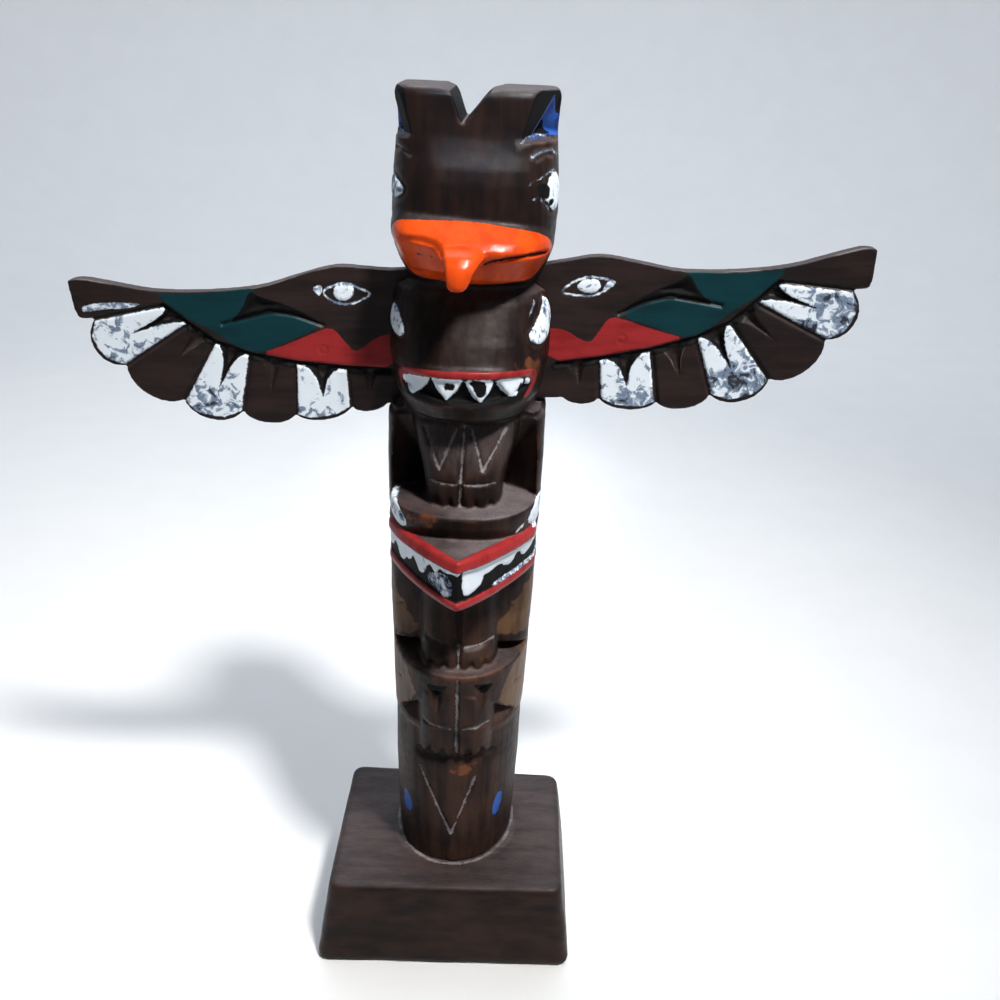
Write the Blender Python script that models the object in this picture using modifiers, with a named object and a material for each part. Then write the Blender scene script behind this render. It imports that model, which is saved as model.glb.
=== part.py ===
"""Carved wooden totem pole: a half-round log of faces with two wings let into its sides, on a wooden base.

Sizes are in millimetres and turned into metres by MM when a mesh is made. The pole is modelled in its own
frame: u to the right, v to the back, w up the log from its foot. The wings have a frame of their own: out
from the pole, v to the back, and up.
"""

import bmesh
import bpy
from math import cos, pi, radians, sin
from mathutils import Vector

MM = 0.001
GAP = 0.3
WELD = 0.02

BASE_WIDTH = 91.7
BASE_DEPTH = 77.3
BASE_HEIGHT = 31.7
BASE_INSETS = {"left": 5.1, "right": 3.4, "front": 4.3, "back": 3.4}
BASE_SKEW = 3.0
BASE_CORNER = 4.0
BASE_EDGE = 1.8

POLE_FOOT = (2.45, -1.05)
POLE_LEAN = radians(1.5)
POLE_BACK = 20.0
POLE_WIDEST = 8.0
BACK_CORNER = 3.0
FRONT_STEPS = 24

POST_TOP = 47.0
LOWER_LEDGE = 84.0
SNOUT_LOW = 116.5
SNOUT_TOP = 134.0
SNOUT_ROOT = -14.0
JAW_ROOT = -7.0
UPPER_LEDGE = 142.5
SHOULDER = 172.0
NECK = 210.0
POLE_TOP = 265.4

MOUTH_LOW = 178.4
MOUTH_HIGH = 184.9
MOUTH_HALF = 19.4
MOUTH_DEPTH = 1.6
MOUTH_GAPS = (-18.2, -10.0, -0.6, 9.8, 17.2)

LIP = 3.2
RISE = 0.3
BLOCK_HALF = 13.5
CUT_DEPTH = 1.2
SPLIT_DEPTH = 1.7
CUT_SLOPE = 0.7
CLAWS = 3
FOLD_SHIFT = 0.3
FACE_TURN = -2.7
BROW_SHELF = 251.5
EAR_FLARE = 5.0
EAR_SIDES = {-1: ((-21.4, -18.0), (-27.6, 2.0)), 1: ((16.8, -18.6), (25.9, 1.4))}
EAR_HOLLOWS = {
    -1: ((-20.7, -4.6), (-22.8, -1.0), (-18.8, 0.5)),
    1: ((15.8, -10.5), (21.9, -3.0), (16.2, -1.5)),
}

WING_PIVOT = (6.65, -2.05, BASE_HEIGHT + 213.0)
WING_TILT = radians(3.3)
WING_THICK = 4.6
WING_ROOT = 17.0
TAB_END = 24.0
TAB_TOP = 0.4
TAB_LOW = -42.3
GROOVE = 1.3
CHIP = 1.7

WOOD = (0.045, 0.025, 0.020, 1.0)
WING_WOOD = (0.035, 0.022, 0.019, 1.0)


def clear_scene():
    for obj in list(bpy.data.objects):
        bpy.data.objects.remove(obj)


def make_collection(name, helper=False):
    collection = bpy.data.collections.new(name)
    collection.hide_render = helper
    bpy.context.scene.collection.children.link(collection)
    return collection


def make_material(name, color, roughness):
    material = bpy.data.materials.new(name)
    material.use_nodes = True
    shader = material.node_tree.nodes["Principled BSDF"]
    shader.inputs["Base Color"].default_value = color
    shader.inputs["Roughness"].default_value = roughness
    shader.inputs["Metallic"].default_value = 0.0
    material.diffuse_color = color
    return material


def make_frame(name, place, turn):
    frame = bpy.data.objects.new(name, None)
    frame.location = Vector(place) * MM
    frame.rotation_euler = (0.0, turn, 0.0)
    return frame


def add_object(name, bm, frame, collection):
    """A mesh object from bm, whose points are in millimetres in the frame's axes."""
    bmesh.ops.scale(bm, vec=(MM, MM, MM), verts=bm.verts)
    bmesh.ops.recalc_face_normals(bm, faces=bm.faces)
    mesh = bpy.data.meshes.new(name)
    bm.to_mesh(mesh)
    bm.free()
    obj = bpy.data.objects.new(name, mesh)
    obj.parent = frame
    collection.objects.link(obj)
    return obj


def add_helper(name, bm, frame):
    obj = add_object(name, bm, frame, cutters)
    obj.hide_render = True
    obj.display_type = "WIRE"
    return obj


def combine(obj, tool, operation):
    modifier = obj.modifiers.new(tool.name, "BOOLEAN")
    modifier.operation = operation
    modifier.solver = "EXACT"
    modifier.object = tool


def round_edges(obj, width, segments, angle):
    bevel = obj.modifiers.new("rounded edges", "BEVEL")
    bevel.width = width * MM
    bevel.segments = segments
    bevel.limit_method = "ANGLE"
    bevel.angle_limit = angle


def weld(obj):
    """Joins the points that the cuts leave almost on top of one another."""
    modifier = obj.modifiers.new("weld", "WELD")
    modifier.merge_threshold = WELD * MM


# Shapes ---------------------------------------------------------------------------------------------------


def power(value, exponent):
    return abs(value) ** exponent * (1 if value >= 0 else -1)


def log_ring(height, half, front, blunt, shift=0.0, widest=POLE_WIDEST, back=POLE_BACK, middle=0.0):
    """A half-round section: flat at the back, straight sides, and a front that is a superellipse.

    half is the half width, front how far the nose of the section stands forward, and blunt its exponent:
    1 gives a wedge, 2 a half ellipse, 4 a rounded box. shift turns the front of it aside.
    """
    ring = []
    depth = widest + front
    for step in range(FRONT_STEPS + 1):
        angle = pi * step / FRONT_STEPS
        reach = power(sin(angle), 2 / blunt)
        u = middle + half * power(cos(angle), 2 / blunt) + shift * reach**4
        ring.append((u, widest - depth * reach, height))
    corner = min(BACK_CORNER, (back - widest) / 2)
    for u, v in ((-half, back - corner), (corner - half, back), (half - corner, back), (half, back - corner)):
        ring.append((middle + u, v, height))
    return ring


def loft(name, rings, frame):
    """A closed solid through rings with the same number of points."""
    bm = bmesh.new()
    rows = [[bm.verts.new(point) for point in ring] for ring in rings]
    count = len(rows[0])
    for low, high in zip(rows, rows[1:]):
        for i in range(count):
            j = (i + 1) % count
            bm.faces.new((low[i], low[j], high[j], high[i]))
    bm.faces.new(rows[0][::-1])
    bm.faces.new(rows[-1])
    bmesh.ops.remove_doubles(bm, verts=bm.verts, dist=0.001)
    return add_helper(name, bm, frame)


def hull(name, points, frame):
    """The convex solid over the points: wedges, prisms and chips."""
    bm = bmesh.new()
    for point in points:
        bm.verts.new(point)
    bmesh.ops.convex_hull(bm, input=bm.verts)
    return add_helper(name, bm, frame)


def gouge(name, start, end, half, depth, frame, facing=(0.0, -1.0, 0.0)):
    """A V-shaped cut, open towards facing, whose bottom runs from start to end."""
    start, end, facing = Vector(start), Vector(end), Vector(facing).normalized()
    run = (end - start).normalized()
    open_half = run.cross(facing).normalized() * half * 4
    forward = facing * depth * 4
    points = []
    for point, stretch in ((start, -run * half), (end, run * half)):
        points += [point, point + stretch + forward - open_half, point + stretch + forward + open_half]
    return hull(name, points, frame)


def chip(name, corners, deep, frame):
    """A chip cut out with a knife: corners lie on the surface, and the cut runs down from them to deep."""
    deep = Vector(deep)
    return hull(name, [deep] + [deep.lerp(Vector(corner), 1.8) for corner in corners], frame)


def prism(name, outline, front, back, frame):
    """The outline, as pairs of u and w, carried from front to back."""
    bm = bmesh.new()
    face = bm.faces.new([bm.verts.new((u, front, w)) for u, w in outline])
    made = bmesh.ops.extrude_face_region(bm, geom=[face])["geom"]
    moved = [item for item in made if isinstance(item, bmesh.types.BMVert)]
    bmesh.ops.translate(bm, vec=(0, back - front, 0), verts=moved)
    return add_helper(name, bm, frame)


def arc_between(start, end, bulge, steps):
    """Points from start to end, end left out, swelling by bulge to the left of the way."""
    (a, b), (c, d) = start, end
    run = Vector((c - a, d - b))
    normal = Vector((-run.y, run.x)).normalized()
    points = []
    for step in range(steps):
        t = step / steps
        swell = bulge * (1 - abs(2 * t - 1) ** 2.5)
        points.append((a + run.x * t + normal.x * swell, b + run.y * t + normal.y * swell))
    return points


def smooth_path(points, steps):
    """A Catmull-Rom curve through the points."""
    knots = [Vector(point) for point in (points[0], *points, points[-1])]
    path = []
    for before, start, end, after in zip(knots, knots[1:], knots[2:], knots[3:]):
        bend = 2 * before - 5 * start + 4 * end - after
        twist = 3 * start - before - 3 * end + after
        for step in range(steps):
            t = step / steps
            path.append(tuple(start + ((end - before) * t + bend * t**2 + twist * t**3) / 2))
    path.append(tuple(points[-1]))
    return path


# Base -----------------------------------------------------------------------------------------------------


def make_base():
    """A block cut by hand: its sides slope in towards the top, and its back is out of square."""
    bm = bmesh.new()
    bmesh.ops.create_cube(bm, size=1.0)
    bmesh.ops.scale(bm, vec=(BASE_WIDTH, BASE_DEPTH, BASE_HEIGHT), verts=bm.verts)
    bmesh.ops.translate(bm, vec=(0, 0, BASE_HEIGHT / 2), verts=bm.verts)
    for vert in bm.verts:
        right, back, top = vert.co.x > 0, vert.co.y > 0, vert.co.z > BASE_HEIGHT / 2
        if right and back:
            vert.co.y -= BASE_SKEW
        if top:
            vert.co.x += -BASE_INSETS["right"] if right else BASE_INSETS["left"]
            vert.co.y += -BASE_INSETS["back"] if back else BASE_INSETS["front"]
    upright = [edge for edge in bm.edges if abs(edge.verts[0].co.z - edge.verts[1].co.z) > BASE_HEIGHT / 2]
    bmesh.ops.bevel(bm, geom=upright, offset=BASE_CORNER, segments=5, profile=0.5, affect="EDGES")
    base = add_object("base", bm, None, parts)
    round_edges(base, BASE_EDGE, 3, radians(50))
    return base


# Pole -----------------------------------------------------------------------------------------------------


class Form:
    """A carved form of the log, from stations of height, half width, front and bluntness.

    A fifth number in a station is where its sides start to turn inwards, in place of widest. turn swings the
    front of the form aside, and drop tips it sideways.
    """

    widest = POLE_WIDEST
    back = POLE_BACK
    turn = 0.0
    middle = 0.0
    drop = 0.0

    def __init__(self, name, stations, **differences):
        self.name = name
        self.stations = stations
        for trait, value in differences.items():
            setattr(self, trait, value)

    def solid(self, frame):
        rings = []
        for height, half, front, blunt, *root in self.stations:
            widest = root[0] if root else self.widest
            ring = log_ring(height, half, front, blunt, self.turn, widest, self.back, self.middle)
            rings.append([(u, v, w - self.drop * u) for u, v, w in ring])
        return loft(self.name, rings, frame)

    def surface(self, u, w):
        """Where the front of the form is, at u and height w, as a point."""
        level = w + self.drop * u
        for low, high in zip(self.stations, self.stations[1:]):
            if low[0] <= level <= high[0]:
                break
        share = (level - low[0]) / (high[0] - low[0])
        half, front, blunt = (a + (b - a) * share for a, b in zip(low[1:4], high[1:4]))
        reach = 1.0
        for _ in range(4):
            aside = abs(u - self.middle - self.turn * reach**4) / half
            reach = (1 - min(aside, 1.0) ** blunt) ** (1 / blunt)
        return Vector((u, self.widest - (self.widest + front) * reach, w))


FEET_LOW = POST_TOP + 2.0
ANKLE = FEET_LOW + 12.6
KNEE_TOP = POST_TOP + 28.0
LIP_LOW = SNOUT_LOW + LIP - 0.4
LIP_HIGH = SNOUT_TOP - LIP
CHIN = SHOULDER - 2.5

LOWER_TRUNK = Form(
    "lower trunk",
    [
        (-2.0, 21.0, 20.0, 2.0),
        (12.0, 21.7, 20.3, 2.1),
        (35.0, 22.5, 20.5, 2.3),
        (POST_TOP + 9.0, 22.6, 20.5, 2.4),
        (POST_TOP + 11.0, 23.1, 22.3, 2.3),
        (POST_TOP + 23.0, 23.7, 25.3, 2.15),
        (LOWER_LEDGE - 1.0, 24.0, 28.4, 2.1),
        (LOWER_LEDGE, 23.7, 27.8, 2.1),
        (LOWER_LEDGE + RISE, 23.6, 12.0, 4.0),
        (LOWER_LEDGE + 5.0, 23.9, 11.5, 4.2),
        (LOWER_LEDGE + 20.0, 24.5, 12.5, 4.2),
        (SNOUT_LOW, 24.6, 13.5, 4.0),
        (SNOUT_LOW + RISE, 24.5, 21.0, 2.8),
        (SNOUT_TOP + RISE, 24.8, 28.2, 2.8),
        (SNOUT_TOP + 4.0, 25.1, 30.0, 2.8),
        (UPPER_LEDGE - 1.2, 25.1, 30.6, 2.8),
        (UPPER_LEDGE, 25.0, 29.8, 2.8),
    ],
)
CHEST = Form(
    "chest",
    [
        (UPPER_LEDGE - 1.0, 25.0, 13.8, 6.0),
        (155.0, 25.2, 14.0, 6.0),
        (SHOULDER - 1.0, 25.1, 13.6, 6.0),
        (SHOULDER, 24.7, 12.8, 6.0),
    ],
)
SNOUT = Form(
    "snout",
    [
        (SNOUT_LOW + RISE, 23.6, 41.8, 1.2, JAW_ROOT),
        (SNOUT_LOW + 1.0, 23.8, 43.2, 1.2, JAW_ROOT),
        (LIP_LOW, 23.9, 43.9, 1.2, JAW_ROOT),
        (LIP_LOW + RISE, 23.0, 42.2, 1.2, JAW_ROOT),
        (LIP_HIGH - RISE, 22.6, 42.8, 1.2, SNOUT_ROOT),
        (LIP_HIGH, 23.5, 44.6, 1.2, SNOUT_ROOT),
        (SNOUT_TOP - 0.6, 23.5, 44.2, 1.2, SNOUT_ROOT),
        (SNOUT_TOP, 23.4, 43.2, 1.2, SNOUT_ROOT),
    ],
    back=4.0,
)
SECOND_FACE = Form(
    "second face",
    [
        (CHIN, 21.8, 23.4, 2.15),
        (CHIN + 2.0, 23.0, 26.4, 2.15),
        (CHIN + 7.5, 23.9, 28.7, 2.15),
        (CHIN + 8.7, 24.0, 27.8, 2.15),
        (CHIN + 16.0, 25.0, 27.4, 2.2),
        (CHIN + 16.4, 25.3, 28.3, 2.2),
        (CHIN + 18.6, 25.6, 28.1, 2.2),
        (CHIN + 19.4, 25.6, 26.9, 2.3),
        (CHIN + 25.0, 25.7, 24.0, 2.4),
        (CHIN + 31.0, 25.3, 20.5, 2.5),
        (CHIN + 36.0, 24.6, 17.8, 2.6),
        (CHIN + 38.3, 23.4, 16.4, 2.6),
        (NECK - 0.4, 20.4, 14.5, 2.6),
        (NECK + 3.0, 20.2, 14.5, 2.6),
    ],
)
HEAD = Form(
    "head",
    [
        (NECK, 19.4, 14.0, 2.6),
        (NECK + 3.0, 20.9, 18.0, 3.0),
        (NECK + 6.5, 22.6, 20.4, 3.2),
        (NECK + 11.0, 24.2, 21.4, 3.4),
        (NECK + 21.0, 24.9, 21.8, 3.4),
        (NECK + 30.0, 24.6, 21.4, 3.4),
        (NECK + 34.0, 24.4, 20.4, 3.4),
        (NECK + 38.5, 24.0, 18.3, 3.6),
        (NECK + 42.5, 23.6, 16.9, 4.0),
        (NECK + 48.0, 23.7, 16.4, 4.4),
        (POLE_TOP - 2.2, 24.1, 16.3, 4.4),
        (POLE_TOP - 0.6, 23.7, 15.5, 4.4),
        (POLE_TOP, 22.9, 14.5, 4.4),
    ],
    turn=FACE_TURN / 2,
    middle=0.4,
)
BEAK = Form(
    "beak",
    [
        (NECK + 3.8, 20.0, 23.8, 2.6),
        (NECK + 4.8, 21.2, 25.8, 2.6),
        (NECK + 9.0, 23.4, 27.6, 2.7),
        (NECK + 12.0, 24.3, 29.6, 3.0),
        (NECK + 13.6, 24.6, 29.8, 3.2),
        (NECK + 16.0, 24.6, 27.8, 3.4),
        (NECK + 20.5, 23.6, 22.2, 3.6),
        (NECK + 22.5, 20.4, 18.0, 3.6),
    ],
    turn=FACE_TURN / 2,
    middle=0.1,
    drop=0.06,
)
HANDS = Form(
    "hands",
    [
        (UPPER_LEDGE - 1.0, 12.1, 23.4, 3.6),
        (UPPER_LEDGE + 8.0, 13.1, 24.3, 3.6),
        (UPPER_LEDGE + 11.0, 13.8, 24.0, 3.4),
        (SHOULDER - 4.0, 17.2, 18.2, 4.4),
        (SHOULDER, 17.6, 16.8, 4.4),
    ],
    widest=0.0,
    back=6.0,
)
UPPER_PAWS = Form(
    "upper paws",
    [
        (LOWER_LEDGE - 1.0, BLOCK_HALF - 0.4, 24.6, 3.4),
        (LOWER_LEDGE + 4.0, BLOCK_HALF, 23.8, 3.4),
        (LOWER_LEDGE + 8.0, BLOCK_HALF, 21.6, 3.4),
        (LOWER_LEDGE + 20.0, BLOCK_HALF + 0.4, 19.8, 3.2),
        (SNOUT_LOW + 1.0, BLOCK_HALF + 0.8, 19.4, 3.0),
    ],
    widest=0.0,
    back=6.0,
)
LOWER_FEET = Form(
    "lower feet",
    [
        (FEET_LOW - 0.6, BLOCK_HALF - 0.6, 22.2, 4.0),
        (FEET_LOW + 1.0, BLOCK_HALF, 23.4, 4.0),
        (ANKLE, BLOCK_HALF + 0.2, 24.8, 4.0),
        (ANKLE + 4.0, BLOCK_HALF + 0.2, 25.6, 4.0),
        (KNEE_TOP, BLOCK_HALF, 26.9, 4.0),
    ],
    widest=0.0,
    back=6.0,
)


def beak_hook(frame):
    """The hooked tip of the beak, swept forward out of it and then down."""
    bends = ((-19.0, 13.6), (-27.5, 12.4), (-33.0, 10.6), (-35.8, 6.6), (-36.2, 3.0))
    spine = smooth_path([(v, NECK + up) for v, up in bends], 2)
    rings = []
    last = len(spine) - 1
    for index, (v, w) in enumerate(spine):
        ahead = Vector(spine[min(index + 1, last)])
        behind = Vector(spine[max(index - 1, 0)])
        run = (ahead - behind).normalized()
        along = index / last
        half = 11.5 - 9.0 * along**0.75
        thick = 3.4 - 1.7 * along
        ring = []
        for step in range(12):
            angle = 2 * pi * step / 12
            out = thick * sin(angle)
            ring.append((FACE_TURN + half * cos(angle), v - run.y * out, w + run.x * out))
        rings.append(ring)
    return loft("beak hook", rings, frame)


def claw_notches(form, low, tall, frame):
    """The three-cornered notches that part the claws of a pair of paws."""
    made = []
    pitch = form.stations[0][1] / CLAWS
    for index in range(1 - CLAWS, CLAWS):
        middle = pitch * index + FOLD_SHIFT
        corners = [form.surface(middle + pitch * along, low) for along in (-0.42, 0.42)]
        corners.append(form.surface(middle, low + tall))
        deep = form.surface(middle, low) + Vector((0.0, tall * 0.45, 0.0))
        made.append(chip(f"{form.name} notch {index + CLAWS}", corners, deep, frame))
    return made


def ear_notch(frame):
    """The V sawn between the ears, steeper on the left, with the ears' corners rounded."""
    top = POLE_TOP
    outline = [(-3.4, top - 10.0), (2.6, top - 2.6), (4.4, top - 1.0), (7.6, top - 0.2), (9.0, top + 2.0)]
    outline += [(-10.4, top + 2.0), (-9.2, top - 0.2), (-7.0, top - 1.0), (-6.0, top - 2.6)]
    return prism("ear notch", outline, -40.0, 40.0, frame)


def ear_side(side, frame):
    """The flat that runs back from the front corner of an ear to its side, down to the shelf of the brow."""
    points = []
    for u, v in EAR_SIDES[side]:
        points += [(u - EAR_FLARE * side, v, BROW_SHELF), (u, v, POLE_TOP + 5.0)]
        points += [(u + 12.0 * side, v - 6.0, BROW_SHELF + 1.5), (u + 12.0 * side, v - 6.0, POLE_TOP + 5.0)]
    return hull(f"ear side {side}", points, frame)


def ear_hollow(side, frame):
    """The three-sided hollow in the outer face of an ear."""
    foot, apex = POLE_TOP - 12.8, POLE_TOP - 2.4
    front, tip, deep = EAR_HOLLOWS[side]
    corners = [(*front, foot), (*tip, apex), (HEAD.middle + 23.7 * side, 4.5, foot + 0.8)]
    return chip(f"ear hollow {side}", corners, (*deep, foot + 1.4), frame)


def brow_groove(side, frame):
    """The cut over the eye, arching round from the front of the head to its side."""
    made = []
    facing = Vector((side, -0.8, 0.0)).normalized()
    route = [(17.2, NECK + 37.0), (20.4, NECK + 38.6), (23.3, NECK + 38.2)]
    ends = [HEAD.surface(side * u, w) - facing * 1.1 for u, w in route]
    for index, (start, end) in enumerate(zip(ends, ends[1:])):
        made.append(gouge(f"brow {side} {index}", start, end, 0.7, 1.2, frame, facing))
    return made


def hand_recess(side, frame):
    """The cut between a hand and the outer edge of the chest, deeper towards the ledge."""
    inner, outer = 9.0 * side, 23.0 * side
    top, low = SHOULDER - 0.6, UPPER_LEDGE
    points = []
    for u, deep in ((inner, 1.5), (outer, -7.6)):
        points += [(u, deep, low), (u, -20.0, low), (u, -20.0, top + 6), (u, -12.4, top)]
    return hull(f"hand recess {side}", points, frame)


def tuft_cut(side, frame):
    """The undercut between the upper tuft of fur and the ledge."""
    points = []
    for u, top in ((11.8 * side, 5.6), (30.0 * side, 4.6)):
        points += [(u, 1.0, LOWER_LEDGE), (u, -20.0, LOWER_LEDGE), (u, -20.0, LOWER_LEDGE + top + 2.0)]
    return hull(f"tuft cut {side}", points, frame)


def foot_recess(side, frame):
    """The notch beside a foot, under the point of the lower tuft of fur."""
    points = []
    for u, high in ((10.0 * side, 24.0), (24.5 * side, 10.5)):
        top = POST_TOP + high
        points += [(u, -10.0, top), (u, -34.0, top + 3.0), (u, -34.0, POST_TOP + 1.0)]
    return hull(f"foot recess {side}", points, frame)


def tuft_nick(side, height, frame):
    """The crescent nicked into the edge of a tuft of fur, from front round to the side."""
    places = [(17.6, height + 1.2), (22.0, height - 2.2), (19.4, height - 1.2), (22.8, height - 3.6)]
    corners = [LOWER_TRUNK.surface(side * u, w) for u, w in places]
    deep = LOWER_TRUNK.surface(side * 19.6, height - 1.2) + Vector((-1.2 * side, 1.2, 0.4))
    return chip(f"tuft nick {side} {height:.0f}", corners, deep, frame)


def mouth_gaps(frame):
    """The second face's open mouth: the dark gaps between its pointed teeth, cut back from the jaw."""
    made = []
    edges = [(a + b) / 2 for a, b in zip(MOUTH_GAPS, MOUTH_GAPS[1:])]
    edges = [-MOUTH_HALF, *edges, MOUTH_HALF]
    for middle, left, right in zip(MOUTH_GAPS, edges, edges[1:]):
        top = MOUTH_HIGH - 4.0 * abs(middle / MOUTH_HALF) ** 8
        points = []
        for u, up in ((left + GAP, 0.5), (right - GAP, 0.5), (middle, 0.0)):
            rise = MOUTH_LOW + 2.6 * (u / MOUTH_HALF) ** 2
            for w in (rise, rise + up if up else top):
                points += [(u, -50.0, w), (u, SECOND_FACE.surface(u, w).y + MOUTH_DEPTH, w)]
        made.append(hull(f"mouth gap {middle:.0f}", points, frame))
    return made


def line_cuts(frame):
    """Straight V-cuts: the hands' folds and wrists, the split down the middle and the mark on the post."""
    ledge = UPPER_LEDGE
    fold, knuckle = ledge + 12.6, ledge + 8.4
    arm = LOWER_LEDGE + 8.0
    lines = [
        ("left fold out", HANDS, (-12.6, ledge + 24.8), (-7.4, fold)),
        ("left fold in", HANDS, (-2.4, ledge + 24.8), (-7.2, fold + 0.4)),
        ("right fold in", HANDS, (2.2, ledge + 24.8), (6.0, fold + 0.4)),
        ("right fold out", HANDS, (13.0, ledge + 25.6), (6.2, fold)),
        ("hands split", HANDS, (-0.2, ledge + 25.6), (-0.7, knuckle + 0.8)),
        ("hands split low", HANDS, (-0.7, knuckle), (-0.7, ledge + 0.6)),
        ("left wrist", HANDS, (-10.2, knuckle), (-1.8, knuckle)),
        ("right wrist", HANDS, (0.8, knuckle), (9.8, knuckle)),
        ("arms split", UPPER_PAWS, (0.3, SNOUT_LOW - 3.0), (0.3, arm)),
        ("paws split", UPPER_PAWS, (0.3, arm - 1.0), (0.4, LOWER_LEDGE + 0.9)),
        ("knees split", LOWER_TRUNK, (0.4, LOWER_LEDGE - 1.3), (0.5, KNEE_TOP)),
        ("shins split", LOWER_FEET, (0.5, KNEE_TOP - 0.1), (0.5, ANKLE + 3.6)),
        ("feet split", LOWER_FEET, (0.5, ANKLE + 3.4), (0.6, FEET_LOW)),
        ("left paw top", UPPER_PAWS, (-11.4, arm + 1.2), (-2.0, arm - 0.4)),
        ("right paw top", UPPER_PAWS, (2.4, arm - 0.4), (11.4, arm + 1.2)),
        ("left foot top", LOWER_FEET, (-11.2, ANKLE + 1.0), (-1.6, ANKLE - 0.6)),
        ("right foot top", LOWER_FEET, (2.6, ANKLE - 0.6), (11.4, ANKLE + 1.4)),
        ("post mark left", LOWER_TRUNK, (-12.3, 40.0), (-0.6, 13.0)),
        ("post mark right", LOWER_TRUNK, (7.4, 38.0), (-0.4, 13.4)),
    ]
    made = []
    for name, form, start, end in lines:
        deep = SPLIT_DEPTH if "split" in name else CUT_DEPTH
        start, end = Vector(start), Vector(end)
        steps = 3 if abs(end.x - start.x) > 6.0 else 2
        places = [start.lerp(end, step / steps) for step in range(steps + 1)]
        spots = [form.surface(*place) + Vector((0.0, deep, 0.0)) for place in places]
        for index, (near, far) in enumerate(zip(spots, spots[1:])):
            made.append(gouge(f"{name} {index}", near, far, deep * CUT_SLOPE, deep, frame))
    return made


def knee_marks(frame):
    """A three-cornered chip in each knee, steep at the top and running out below."""
    made = []
    for side, middle, top in ((-1, -6.2, LOWER_LEDGE - 7.0), (1, 8.6, LOWER_LEDGE - 4.8)):
        places = [(middle - 2.9, top), (middle + 2.9, top + 0.6), (middle, top - 7.2)]
        deep = LOWER_TRUNK.surface(middle, top) + Vector((0.0, 3.0, -1.4))
        corners = [LOWER_TRUNK.surface(*place) for place in places]
        made.append(chip(f"knee mark {side}", corners, deep, frame))
    return made


def beak_slit(frame):
    """The line of the mouth, cut into the right side of the beak."""
    made = []
    route = [(3.6, NECK + 7.6), (9.0, NECK + 10.8), (16.0, NECK + 11.6), (21.6, NECK + 11.8)]
    ends = [BEAK.surface(u, w) + Vector((0.0, 1.2, 0.0)) for u, w in route]
    for index, (start, end) in enumerate(zip(ends, ends[1:])):
        made.append(gouge(f"beak slit {index}", start, end, 0.6, 1.3, frame))
    return made


def wing_slot(side, frame):
    points = []
    for out in (WING_ROOT - GAP, TAB_END + 20.0):
        for v in (-GAP, WING_THICK + GAP):
            points += [(side * out, v, TAB_LOW - GAP), (side * out, v, TAB_TOP + GAP)]
    return hull(f"wing slot {side}", points, frame)


def base_trim():
    """Saws the foot of the leaning log level, just clear of the base."""
    bm = bmesh.new()
    bmesh.ops.create_cube(bm, size=1.0)
    bmesh.ops.scale(bm, vec=(BASE_WIDTH, BASE_DEPTH, 20.0), verts=bm.verts)
    bmesh.ops.translate(bm, vec=(0, 0, BASE_HEIGHT + GAP - 10.0), verts=bm.verts)
    return add_helper("base trim", bm, None)


def make_pole(frame, wing_frame):
    start = LOWER_TRUNK.solid(frame)
    pole = bpy.data.objects.new("pole", start.data)
    pole.parent = frame
    parts.objects.link(pole)
    bpy.data.objects.remove(start)
    combine(pole, CHEST.solid(frame), "UNION")
    for side in (-1, 1):
        for cut in (tuft_cut(side, frame), foot_recess(side, frame), hand_recess(side, frame)):
            combine(pole, cut, "DIFFERENCE")
        for height in (LOWER_LEDGE + 18.4, LOWER_LEDGE - 9.4):
            combine(pole, tuft_nick(side, height, frame), "DIFFERENCE")
    for form in (SNOUT, SECOND_FACE, HEAD, BEAK, HANDS, UPPER_PAWS, LOWER_FEET):
        combine(pole, form.solid(frame), "UNION")
    combine(pole, beak_hook(frame), "UNION")
    cuts = [base_trim(), ear_notch(frame)]
    for side in (-1, 1):
        cuts += [ear_side(side, frame), ear_hollow(side, frame), *brow_groove(side, frame)]
        cuts.append(wing_slot(side, wing_frame))
    cuts += beak_slit(frame) + line_cuts(frame) + knee_marks(frame) + mouth_gaps(frame)
    cuts += claw_notches(HANDS, UPPER_LEDGE + RISE, 5.0, frame)
    cuts += claw_notches(UPPER_PAWS, LOWER_LEDGE + 2 * RISE, 4.0, frame)
    cuts += claw_notches(LOWER_FEET, FEET_LOW - 0.5, 5.4, frame)
    for cut in cuts:
        combine(pole, cut, "DIFFERENCE")
    weld(pole)
    return pole


# Wings ----------------------------------------------------------------------------------------------------

WING_TOP = [(TAB_END, 0.4), (31.0, 1.2), (41.0, 2.1), (53.0, -0.4), (66.0, -3.4), (84.0, -4.1), (99.0, -3.1)]
WING_TOP += [(112.0, -0.2), (120.0, 1.4), (124.0, 0.8)]
FEATHER_ENDS = [(118.0, -11.4), (110.5, -27.0), (93.7, -39.0), (75.0, -43.6), (58.0, -45.4), (39.6, -43.4)]
FEATHER_ENDS += [(TAB_END + 4.0, TAB_LOW)]
FEATHER_ROOTS = [(95.5, -7.8), (88.2, -14.2), (81.0, -20.0), (70.0, -24.6), (56.4, -27.8), (39.5, -30.2)]
FEATHER_ROOTS += [(TAB_END + 2.0, -31.4)]
FEATHER_BULGES = [5.4, 4.4, 4.5, 3.1, 2.8, 1.9]
LEAF_EDGE = [(45.6, -16.2), (54.4, -12.4), (62.0, -10.9), (69.0, -12.4), (78.2, -14.6)]
SHOULDER_POCKET = [(67.6, -5.8), (56.0, -9.2), (62.4, -9.6), (71.0, -11.2)]


def wing_outline():
    outline = smooth_path(WING_TOP, 4)
    outline += [(123.4, -8.0), (122.4, -10.8)]
    for start, end, bulge in zip(FEATHER_ENDS, FEATHER_ENDS[1:], FEATHER_BULGES):
        outline += arc_between(start, end, bulge, 7)
    outline += [FEATHER_ENDS[-1], (WING_ROOT, TAB_LOW), (WING_ROOT, TAB_TOP)]
    return outline


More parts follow.
